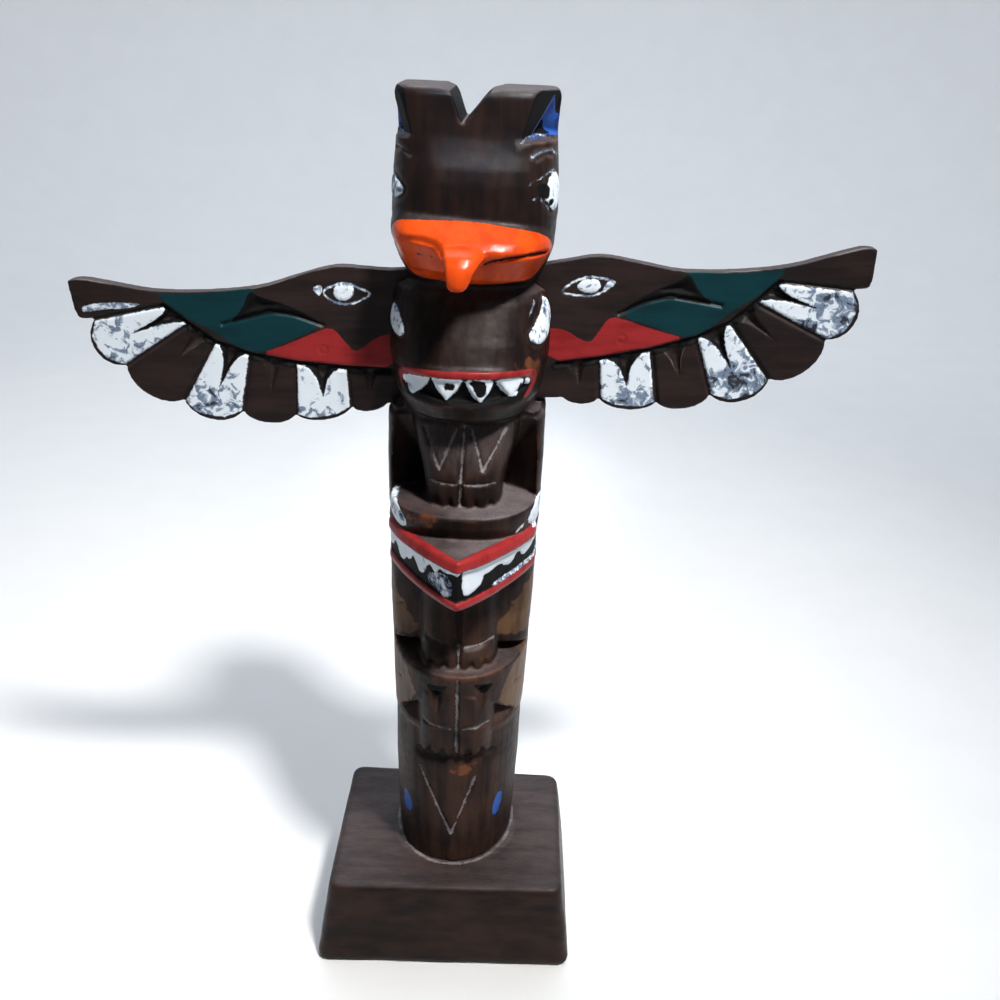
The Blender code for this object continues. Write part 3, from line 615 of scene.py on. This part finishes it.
LIP_INNER = (
    (-17.6, 177.0), (-19.4, 179.0), (-20.6, 181.2), (-19.8, 183.0), (-15.9, 184.4), (-9.4, 185.3),
    (-3.0, 185.9), (6.5, 186.0), (14.4, 185.4), (18.6, 184.2), (20.4, 182.4), (19.6, 180.6),
    (17.2, 178.9), (14.0, 172.0), (-16.0, 172.0),
)
FACE_TEETH = (
    ((-20.0, 183.0), (-17.0, 184.6), (-8.6, 186.0), (-10.0, 183.0), (-12.0, 180.6), (-14.8, 178.6),
     (-16.4, 178.8), (-17.0, 180.6), (-19.4, 181.2)),
    ((-8.2, 186.0), (-0.4, 186.4), (-1.6, 182.6), (-3.2, 180.2), (-4.6, 179.0), (-6.8, 180.8),
     (-8.2, 182.6)),
    ((-0.2, 186.4), (6.8, 186.2), (6.0, 182.2), (5.2, 179.6), (3.2, 178.8), (1.2, 181.2)),
    ((7.0, 186.2), (15.4, 185.2), (16.4, 183.0), (14.6, 179.8), (11.8, 179.6), (9.0, 182.4)),
    ((16.2, 185.0), (19.8, 183.2), (18.2, 181.6)),
)
FACE_TOOTH_HOLES = (
    ((-5.4, 184.2), (-2.4, 184.6), (-2.2, 182.6), (-3.8, 182.2), (-4.6, 181.6)),
    ((0.8, 185.6), (4.0, 186.0), (5.4, 183.4), (4.8, 180.6), (3.2, 180.2), (2.0, 182.6)),
    ((14.0, 181.6), (15.2, 184.4), (15.8, 181.6)),
)
UPPER_LIP = (130.7, 134.6)
LOWER_LIP = (115.0, 119.9)
SNOUT_TEETH = (
    ((-25.0, 132.0), (1.0, 132.0), (0.6, 128.6), (-1.6, 129.4), (-4.0, 128.4), (-5.6, 129.4),
     (-7.0, 126.4), (-8.4, 128.6), (-9.8, 128.2), (-11.0, 123.8), (-12.4, 122.8), (-13.4, 125.4),
     (-14.8, 128.4), (-16.0, 124.4), (-17.4, 124.8), (-18.4, 122.0), (-19.6, 121.8), (-20.6, 126.6),
     (-22.0, 127.0), (-23.0, 122.4), (-25.0, 122.0)),
    ((-9.6, 124.6), (-5.4, 127.4), (-2.4, 127.0), (-1.4, 122.0), (-3.4, 119.8), (-6.2, 120.6),
     (-9.0, 121.4)),
    ((1.8, 132.0), (25.0, 132.0), (25.0, 126.0), (23.2, 127.0), (21.6, 125.4), (20.0, 124.6),
     (19.0, 127.8), (17.4, 128.0), (16.6, 125.2), (14.6, 125.0), (13.0, 127.4), (11.2, 127.0),
     (9.0, 126.0), (7.6, 126.4), (7.2, 123.4), (5.0, 121.6), (2.6, 120.8), (1.6, 124.0)),
    ((9.4, 120.0), (13.4, 121.2), (16.6, 120.8), (20.4, 121.0), (24.6, 120.6), (24.6, 119.6),
     (18.0, 119.6)),
)
SNOUT_EYE_LEFT = (
    (-23.5, 143.0), (-21.0, 143.0), (-17.6, 139.4), (-17.0, 136.3), (-19.4, 134.6), (-23.8, 137.0),
)
SNOUT_EYE_RIGHT = (
    (26.0, 143.0), (23.4, 143.0), (22.0, 140.6), (20.8, 138.6), (21.4, 136.0), (23.0, 133.6), (26.0, 134.0),
)
THIN_STROKES = (
    ((14.6, 251.3), (18.0, 252.8), (29.0, 253.2), (34.0, 252.4)),
    ((17.4, 247.8), (21.0, 249.4), (25.5, 249.6), (30.0, 247.8)),
    ((15.6, 240.8), (22.0, 243.4), (27.5, 244.4)),
    ((16.6, 236.6), (19.0, 237.0), (21.0, 235.2), (23.0, 233.4)),
    ((23.7, 206.4), (20.0, 202.2)),
)
# bands of painted sheen along the two brow ridges, with their widths
BROW_SHEEN_BANDS = ((THIN_STROKES[0], 1.7), (THIN_STROKES[1], 1.1))
SNOUT_EYE_MARK = ((19.6, 138.0), (20.2, 137.2), (17.4, 135.0), (16.8, 135.6))
# painted shade inside the two chip cuts on the knees
KNEE_MARK_SHADOWS = (
    ((-9.0, 78.8), (-2.0, 80.2), (-4.4, 75.0), (-6.0, 73.8)),
    ((4.2, 81.0), (11.2, 79.4), (8.6, 75.6), (7.6, 75.4)),
)
# pale lines along the carved cuts, partly dust in them and partly a painted highlight on their lit walls
PALE_CUTS = (
    ((-12.4, 167.0), (-7.4, 155.2), (-2.4, 167.0)), ((2.2, 167.0), (6.1, 155.2), (12.8, 167.6)),
    ((-0.2, 168.0), (-0.7, 143.4)), ((-10.2, 150.9), (-1.8, 150.9)), ((0.8, 150.9), (9.8, 150.9)),
    ((0.3, 91.0), (0.4, 85.0)), ((2.4, 91.6), (11.4, 93.2)),
    ((0.4, 82.6), (0.6, 49.6)), ((-11.2, 62.6), (-1.6, 61.0)), ((2.6, 61.0), (11.4, 63.0)),
    ((-12.3, 40.0), (-0.6, 13.0)), ((7.4, 38.0), (-0.4, 13.4)),
)
# middle, half width and half height
WORN_SPOTS = (
    ((-9.0, 140.0), 2.6, 1.6), ((3.0, 41.0), 3.0, 1.5), ((19.0, 185.0), 4.5, 3.5), ((-25.4, 247.4), 1.6, 0.9),
)
POST_OVALS = (
    ((-24.5, 24.6), (-20.4, 24.4), (-17.8, 18.9), (-21.7, 14.6), (-25.8, 17.0)),
    ((19.4, 27.8), (22.4, 25.3), (21.4, 19.6), (19.2, 16.6), (16.6, 17.6), (17.0, 24.2)),
)
EAR_HOLLOWS = (
    ((-5.6, 252.0), (-1.2, 264.2), (5.4, 253.0)),
    ((-11.6, 252.0), (-3.0, 264.4), (5.4, 253.0)),
)
TUFTS = (
    ((18.5, 91.0), (42.0, 91.0), (42.0, 114.0), (27.0, 112.0), (23.0, 105.0), (20.5, 98.6),
     (15.0, 94.6)),
    ((13.0, 70.0), (30.0, 57.0), (42.0, 57.0), (42.0, 86.0), (26.0, 84.0), (18.5, 82.0), (16.6, 77.0)),
    ((-42.0, 116.0), (-29.0, 112.0), (-24.6, 101.0), (-20.0, 95.0), (-19.4, 91.6), (-24.0, 88.6),
     (-42.0, 88.0)),
    ((-42.0, 84.0), (-24.0, 84.0), (-17.0, 82.0), (-15.0, 76.0), (-12.6, 70.4), (-31.0, 54.6),
     (-42.0, 54.6)),
)

# heights, and how far forward, back or out from the log's middle
FACE_BACK = -8.0
SCOOP = ((-15.5, 256.0), (-14.0, 238.0), (10.5, 238.0), (13.0, 256.0))
EAR_SIDE = 12.0
EAR_FOOT = 252.6
JAW_LOW = 177.6
SNOUT_MIDDLE = 132.0
SNOUT_MOUTH_LOW = 117.5
SNOUT_BAND = (116.3, 134.6)
SNOUT_BACK = 3.0
SNOUT_TIP = 43.0
SNOUT_SLOPE = 1.21

# how high or how deep each kind of carving is
EYE_RISE, EYE_RIM = 0.45, 0.35
LIP_RISE, SNOUT_LIP_RISE = 0.45, 0.4
TOOTH_RISE, SNOUT_EYE_RISE = 0.25, 0.3
CHEEK_DEPTH, SLIT_DEPTH = 1.5, 0.7
TOE_DEPTH, CHIN_DEPTH = 1.3, 1.2
# half the width of each painted line or dot
SLIT_HALF, DOT_HALF, STROKE_HALF, PALE_HALF = 0.34, 0.42, 0.25, 0.36


def face_lips(pole):
    return both(within(pole.wrap, LIP_OUTER), -within(pole.wrap, LIP_INNER))


def snout_lips(pole):
    """How far inside either lip of the snout each point lies, and how far inside its whole band."""
    u, v, w = pole.at.T
    lips = any_of(*(both(w - low, high - w) for low, high in (UPPER_LIP, LOWER_LIP)))
    lips = lips + 0.12 * ripple(pole.at, (3.0, 3.0, 3.0), 11)
    # the upper lip's paint stops where the ledge on top of the snout begins; the lower lip has no such limit
    ahead = SNOUT_SLOPE * np.abs(u) + 3.0 * smoothstep(np.abs(u), 20.5, 23.0) - SNOUT_TIP - v
    ahead = ahead + 40.0 * (w < SNOUT_MIDDLE)
    low, high = SNOUT_BAND
    return both(lips, ahead), both(w - low, high - w, SNOUT_BACK - v)


def ear_hollows(pole, drop=0.0):
    """How far inside the hollow of either ear each point lies, with the outlines this much lower."""
    side = pole.at[:, (1, 2)] + np.array((0.0, drop))
    made = []
    for hollow, away in zip(EAR_HOLLOWS, (-1.0, 1.0)):
        made.append(both(inside(side, hollow), pole.at[:, 0] * away - EAR_SIDE))
    return any_of(*made)


def sand_pole(pole):
    """Rounds the beak, then its hook, then the forehead."""
    beak = within(pole.wrap, BEAK)
    pole.sand(4, 0.4 * smoothstep(beak, -0.5, 2.0) * (pole.at[:, 1] < FACE_BACK))
    _, v, w = pole.at.T
    pole.sand(30, smoothstep(w, 222.0, 216.0) * smoothstep(v, -23.0, -27.0) * (w > 205.0))
    scoop = inside(pole.front, SCOOP)
    pole.sand(14, smoothstep(scoop, -1.0, 2.5) * (pole.at[:, 1] < 0.0))


def carve_pole(pole):
    wrap, front = pole.wrap, pole.front
    u, v, w = pole.at.T
    before, face = v < 0.0, v < FACE_BACK
    height = tooling(pole.at, POLE_TOOLING)
    cheek = within(wrap, CHEEK, 1)
    height -= CHEEK_DEPTH * smoothstep(cheek, -0.2, 1.4) * smoothstep(wrap[:, 0], -21.0, -8.0) * face
    height += np.where(face, SLIT_DEPTH * cut(from_path(wrap, BEAK_SLIT), 0.55), 0.0)
    height += LIP_RISE * dome(face_lips(pole), 1.2)
    for outline in (HEAD_EYE_RIGHT, HEAD_EYE_LEFT, FACE_EYE_RIGHT, FACE_EYE_LEFT):
        eye = within(wrap, outline)
        height += EYE_RISE * dome(eye, 3.0) + EYE_RIM * cut(eye + 0.9, 0.8)
    mouth, snout = snout_lips(pole)
    height += np.where(snout > 0.0, SNOUT_LIP_RISE * dome(mouth, 1.2), 0.0)
    for tooth in SNOUT_TEETH:
        height += np.where(snout > 0.0, TOOTH_RISE * dome(within(front, tooth, 1) + 0.2, 0.6), 0.0)
    for tooth in FACE_TEETH:
        height += np.where(v < -5.0, TOOTH_RISE * dome(within(wrap, tooth, 1), 0.6), 0.0)
    for outline in (SNOUT_EYE_LEFT, SNOUT_EYE_RIGHT):
        height += np.where(before, SNOUT_EYE_RISE * dome(within(front, outline), 1.5), 0.0)
    toes = smoothstep(w, 43.0, 47.0) * smoothstep(w, 49.4, 48.4) * smoothstep(np.abs(u - 0.4), 14.5, 12.5)
    chin = smoothstep(w, 178.5, 172.0) * smoothstep(w, 168.5, 169.6)
    pole.push(height - (TOE_DEPTH * toes + CHIN_DEPTH * chin) * before)


def paint_pole(pole):
    wrap, front = pole.wrap, pole.front
    u, v, w = pole.at.T
    pole.coat("orange", both(within(wrap, BEAK), FACE_BACK - v))
    lips = face_lips(pole)
    mouth, snout = snout_lips(pole)
    pole.coat("red", any_of(lips, both(mouth, snout)))
    hollows = ear_hollows(pole)
    pole.coat("blue", any_of(within_any(wrap, POST_OVALS), hollows))

    blobs = within_any(wrap, HEAD_EYE_BLOBS, 1)
    dark = [
        both(snout, w - SNOUT_MOUTH_LOW, SNOUT_MIDDLE - w, 0.1 - mouth),
        both(within(wrap, LIP_INNER) - 0.1, w - JAW_LOW),
        both(hollows - 0.4, ear_hollows(pole, 1.8) - 2.0),
        # painted shade: a black coat on the ears' faces that look sideways, above the ears' foot
        both(w - EAR_FOOT, 9.0 * np.abs(pole.facing[:, 0]) - 5.0, -hollows),
        # painted shade in the beak's slit
        both(SLIT_HALF - from_path(wrap, BEAK_SLIT), FACE_BACK - v),
        both(blobs, -v),
    ]
    # painted shade in dots along the mouth line on the beak's left
    dark += [both(DOT_HALF - from_line(wrap, dot, dot), FACE_BACK - v) for dot in BEAK_DOT_SHADOWS]
    # painted shade inside the two chip cuts on the knees
    dark += [both(inside(wrap, mark), -v) for mark in KNEE_MARK_SHADOWS]
    pole.coat("black", any_of(*dark))

    head_eye = both(within(wrap, HEAD_EYE_RIGHT), -0.2 - blobs)
    other_eyes = within_any(wrap, (HEAD_EYE_LEFT, FACE_EYE_RIGHT, FACE_EYE_LEFT))
    snout_eyes = both(within_any(front, (SNOUT_EYE_LEFT, SNOUT_EYE_RIGHT, SNOUT_EYE_MARK), 1), -v)
    teeth = both(within_any(wrap, FACE_TEETH, 1) + 0.1, -within_any(wrap, FACE_TOOTH_HOLES, 1), -lips)
    snout_teeth = both(within_any(front, SNOUT_TEETH, 1) + 0.2, snout, -mouth)
    strokes = STROKE_HALF - from_paths(wrap, THIN_STROKES)
    pole.coat("white", any_of(head_eye, other_eyes, snout_eyes, teeth, snout_teeth, both(strokes, -v)))

    # the paint is rubbed a little on the teeth, more at the left of the snout and along its low right edge,
    # and most on the thin strokes
    uneven = ripple(pole.at, (3.0, 3.0, 3.0), 6)
    left_teeth = (u < 0.0) * (w < 135.0) * (0.30 + 0.9 * (w < 127.4) * (u > -10.0))
    rubbed = np.where(any_of(teeth, snout_teeth) > -0.5, -0.5 + 0.4 * uneven + left_teeth, uneven * 0.6)
    rubbed = np.where((u > 8.0) & (w < 121.6), 0.5 + 0.3 * rubbed, rubbed)
    rubbed = np.where(strokes > -0.3, 0.7 + 0.3 * ripple(pole.at, (2.0, 2.0, 2.0), 5), rubbed)
    rubbed = np.where((u < -14.0) & (w > 225.0), 0.45, rubbed)
    pole.coat("rubbed", rubbed)


def age_pole(pole):
    """The bare tufts and spots, the pale cuts, and painted sheen on the brows, the chest and the snout's
    ledge.
    """
    wrap = pole.wrap
    u, v, w = pole.at.T
    pole.coat("tan", within_any(wrap, TUFTS))
    # pale along the cuts: partly dust, partly painted highlight
    cuts = PALE_HALF - from_paths(pole.front, PALE_CUTS) + 0.30 * ripple(pole.at, (3.5, 3.5, 3.5), 12)
    pole.coat("pale", both(cuts, -5.0 - v))
    # painted sheen on the top of the chest and on the brow ridges, and a painted highlight on the snout's
    # ledge, lighter to the right where the light comes from
    chest_sheen = smoothstep(w, 152.0, 162.0) * smoothstep(w, 171.0, 167.0) * (np.abs(u) < 15.0) * 0.5
    brow_sheen = np.min([from_path(wrap, path) / wide for path, wide in BROW_SHEEN_BANDS], axis=0)
    brow_sheen = smoothstep(brow_sheen, 1.0, 0.5) * (v < 0.0) * 0.8
    ledge_highlight = smoothstep(pole.facing[:, 2], 0.5, 0.9) * smoothstep(u, -14.0, 6.0) * ((w > 130.0) & (w < 150.0))
    pole.age(0.25 + 0.6 * smoothstep(w, 215.0, 60.0), any_of(brow_sheen, chest_sheen, 1.8 * ledge_highlight), 0.8)
    spots = []
    for (across, high), wide, tall in WORN_SPOTS:
        spots.append(1.2 - np.hypot((wrap[:, 0] - across) / wide, (w - high) / tall))
    pole.coat("bare", both(any_of(*spots), -v))


def make_pole():
    pole = Surface("pole", "carved_pole", POLE_PLACE, POLE_VOXEL, 2)
    sand_pole(pole)
    carve_pole(pole)
    pole.simplify(POLE_TRIANGLES)
    paint_pole(pole)
    age_pole(pole)
    coats = ("tan", "bare", "pale", "blue", "orange", "red", "black", "white")
    finish_piece(pole, "pole", painted_wood("pole finish", (1.0, 1.0, 0.1), coats))


# ---------------------------------------------------------------- the wings

FEATHER_ENDS = (
    (118.0, -11.4), (110.5, -27.0), (93.7, -39.0), (75.0, -43.6), (58.0, -45.4), (39.6, -43.4), (28.0, -42.3),
)
FEATHER_ROOTS = (
    (95.5, -7.8), (88.2, -14.2), (81.0, -20.0), (70.0, -24.6), (56.4, -27.8), (39.5, -30.2), (26.0, -31.4),
)
GREEN = (
    (98.0, -3.6), (92.0, -4.6), (80.0, -4.8), (67.0, -3.4), (65.6, -6.0), (72.0, -12.6), (70.0, -11.4),
    (62.5, -11.2), (56.0, -12.4), (46.0, -16.4), (55.0, -19.6), (66.5, -24.4), (71.6, -23.6), (82.0, -15.6),
    (90.0, -11.4),
)
RED = (
    (67.5, -24.6), (57.0, -21.4), (45.6, -16.9), (42.6, -17.4), (39.7, -21.6), (37.2, -24.8), (34.0, -23.6),
    (29.5, -20.2), (23.0, -19.4), (23.0, -30.8), (42.0, -29.2), (58.0, -27.2),
)
FEATHER_BULGES = (5.4, 4.4, 4.5, 3.1, 2.8, 1.9)
BULGE_INSET = 0.6
# how far in from the feather's edges a cut starts and how far along the feather it reaches, as shares
ROOT_CUTS = ((0.12, 0.24), (0.22, 0.42), (0.34, 0.66))
# painted shadow in the pocket above the lower green leaf
POCKET_SHADOW = (
    (67.6, -3.8), (65.0, -6.4), (58.0, -8.6), (51.0, -12.0), (45.6, -16.4), (54.4, -13.0), (62.0, -11.6),
    (69.0, -13.2), (76.0, -14.6), (71.0, -10.4),
)
EYELINES = {
    -1.0: (
        (45.6, -5.6), (42.0, -3.7), (37.9, -2.8), (33.4, -5.0), (29.6, -6.9), (33.1, -8.6), (37.6, -10.0),
        (42.5, -8.8),
    ),
    1.0: (
        (45.2, -5.8), (41.6, -4.8), (37.3, -3.8), (31.2, -5.8), (28.0, -8.6), (32.7, -9.6), (37.9, -10.2),
        (42.2, -8.6),
    ),
}
EYEBALLS = {
    -1.0: ((41.7, -4.5), (39.4, -3.0), (36.4, -3.4), (35.0, -5.4), (36.2, -7.8), (39.4, -8.9), (41.7, -7.3)),
    1.0: ((40.4, -5.2), (37.3, -4.6), (34.0, -5.6), (33.2, -7.4), (35.4, -8.8), (38.6, -9.2), (40.6, -7.6)),
}
EYE_MARKS = {
    -1.0: ((48.2, -4.2), (46.3, -3.2), (44.9, -4.3), (46.0, -7.0), (47.5, -5.8)),
    1.0: ((45.6, -6.2), (43.8, -5.0), (42.0, -6.6), (41.0, -8.4), (43.4, -7.8)),
}
BRUSH_MARK = ((121.0, -7.0), (113.6, -6.2), (101.0, -7.0), (106.4, -8.6), (113.6, -8.2), (121.0, -9.4))
NAIL = (46.9, -23.9)
NAIL_RADIUS = 1.2
FACE_DEPTH, PAINT_BACK = 2.0, 1.5
BALL_RISE, EYELINE_DEPTH, NAIL_DEPTH, ROOT_DEPTH = 0.35, 0.3, 0.25, 0.5
FEATHER_MARGIN, EYELINE_HALF, ROOT_HALF = 0.7, 0.3, 1.3

def feathers_of(points):
    """How far inside each feather, and inside the cut at its root, each point lies."""
    made = []
    edges = [(Vector(root), Vector(end)) for root, end in zip(FEATHER_ROOTS, FEATHER_ENDS)]
    for (root, end), (next_root, next_end), bulge in zip(edges, edges[1:], FEATHER_BULGES):
        far = (end + next_end) * 0.5
        near = (root + next_root) * 0.5
        out = (far - near).normalized() * (bulge - BULGE_INSET)
        round_end = (end.lerp(far, 0.5) + out * 0.9, far + out, next_end.lerp(far, 0.5) + out * 0.9)
        blade = inside(points, (root, end, *round_end, next_end, next_root))
        cuts = []
        for edge, length in ROOT_CUTS:
            corners = (root.lerp(next_root, edge), root.lerp(next_root, 1 - edge), near.lerp(far, length))
            cuts.append(inside(points, corners))
        made.append((blade, any_of(*cuts)))
    return made


def drawing_of(wing, side):
    """How far out from the pole and how high each point is, so that one drawing does for both wings."""
    out, _, up = wing.at.T
    return np.stack((out * side, up), axis=1)


def carve_wing(wing, side):
    plan = drawing_of(wing, side)
    face = wing.at[:, 1] < FACE_DEPTH
    height = tooling(wing.at, WING_TOOLING)
    ball = within(plan, EYEBALLS[side])
    eye = within(plan, EYELINES[side])
    height += np.where(face, BALL_RISE * dome(ball, 1.6) + EYELINE_DEPTH * cut(eye, 0.5), 0.0)
    height += np.where(face, NAIL_DEPTH * cut(from_line(plan, NAIL, NAIL) - NAIL_RADIUS, 0.35), 0.0)
    for _, root_cut in feathers_of(plan):
        height += np.where(face, -ROOT_DEPTH * dome(root_cut, 2.0), 0.0)
    wing.push(height)


def paint_wing(wing, side):
    plan = drawing_of(wing, side)
    face = PAINT_BACK - wing.at[:, 1]
    wing.coat("green", both(within(plan, GREEN, 1), face))
    wing.coat("red", both(within(plan, RED, 1), face))

    pale_feathers = feathers_of(plan)[0::2]
    white = [both(blade - FEATHER_MARGIN, -root_cut - 0.15) for blade, root_cut in pale_feathers]
    ball = within(plan, EYEBALLS[side])
    ring = EYELINE_HALF - np.abs(within(plan, EYELINES[side]))
    marks = within(plan, EYE_MARKS[side])
    if side < 0.0:
        marks = any_of(marks, within(plan, BRUSH_MARK))
    wing.coat("white", both(any_of(*white, ball, ring, marks), face))

    uneven = 0.5 * ripple(wing.at, (6.0, 6.0, 6.0), 9) + 0.25 * side
    worn = uneven + smoothstep(from_path(plan, FEATHER_ROOTS), 8.0, 17.0)
    worn = np.where(ball > -0.4, 0.0, worn)
    wing.coat("rubbed", np.where(any_of(ring, marks) > -0.4, 0.45, 0.55 * worn - 0.1))

    # painted shade: black in the deep cut along the feather roots, in the pocket and in the chips at the
    # roots
    root_shadow = ROOT_HALF - from_path(plan + np.array((0.0, 0.6)), FEATHER_ROOTS)
    cuts = any_of(root_shadow, within(plan, POCKET_SHADOW, 1), *(root_cut for _, root_cut in pale_feathers))
    wing.coat("black", both(cuts, face))
    # a thin grey veil over the whole wing, as painted sheen
    wing.age(0.15, 0.12, 0.9)


def make_wing(node, name, side):
    wing = Surface(node, name, WING_PLACE, WING_VOXEL, 2)
    carve_wing(wing, side)
    paint_wing(wing, side)
    coats = ("green", "red", "black", "white")
    finish = painted_wood(name.replace("_", " ") + " finish", (0.12, 1.0, 1.0), coats, CHIPPED)
    finish_piece(wing, node, finish)


set_camera()
set_studio()
add_floor()
make_base()
make_pole()
make_wing("left_wing", "left_wing_board", -1.0)
make_wing("right_wing", "right_wing_board", 1.0)
